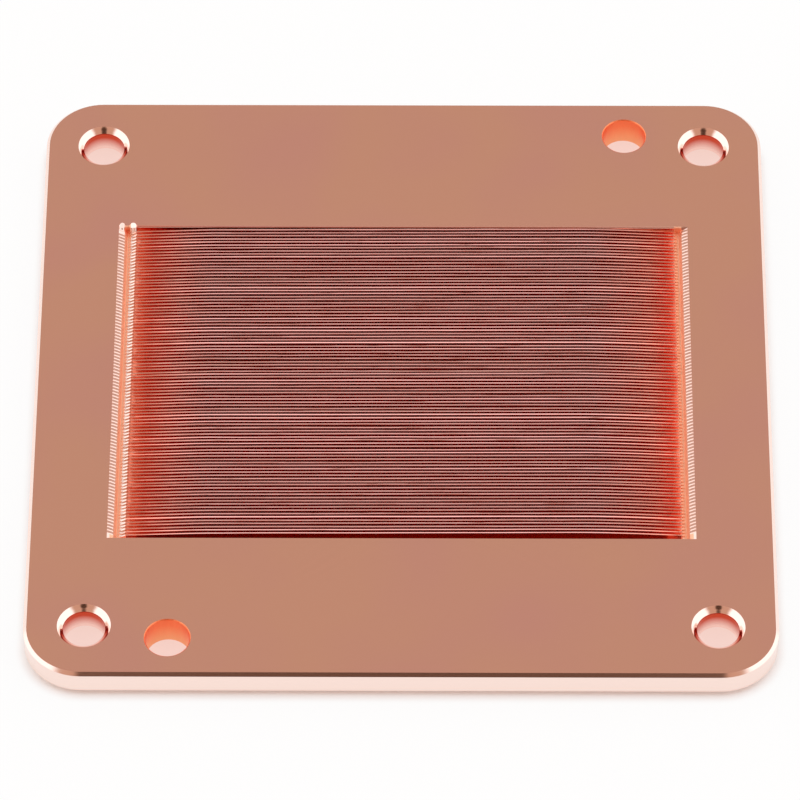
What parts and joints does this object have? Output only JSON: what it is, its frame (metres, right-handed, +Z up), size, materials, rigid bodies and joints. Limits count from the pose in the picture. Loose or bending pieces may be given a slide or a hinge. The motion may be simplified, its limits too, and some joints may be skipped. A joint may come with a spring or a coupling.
{
  "type": "liquid cooling cold plate",
  "caption": "Square copper cold plate with rounded corners, a rectangular field of thin skived fins in its face, countersunk corner screw holes and plain dowel holes on one diagonal.",
  "frame": {"origin": "centre of the plain underside, which is the chip contact face", "axes": "+X along the fins, +Y across the fins, +Z up through the plate to the finned sealing face"},
  "size_m": [0.0576, 0.0576, 0.0026],
  "materials": {
    "copper": "lapped bare copper"
  },
  "bodies": {
    "root": {"cold_plate": "copper"}
  },
  "joints": []
}
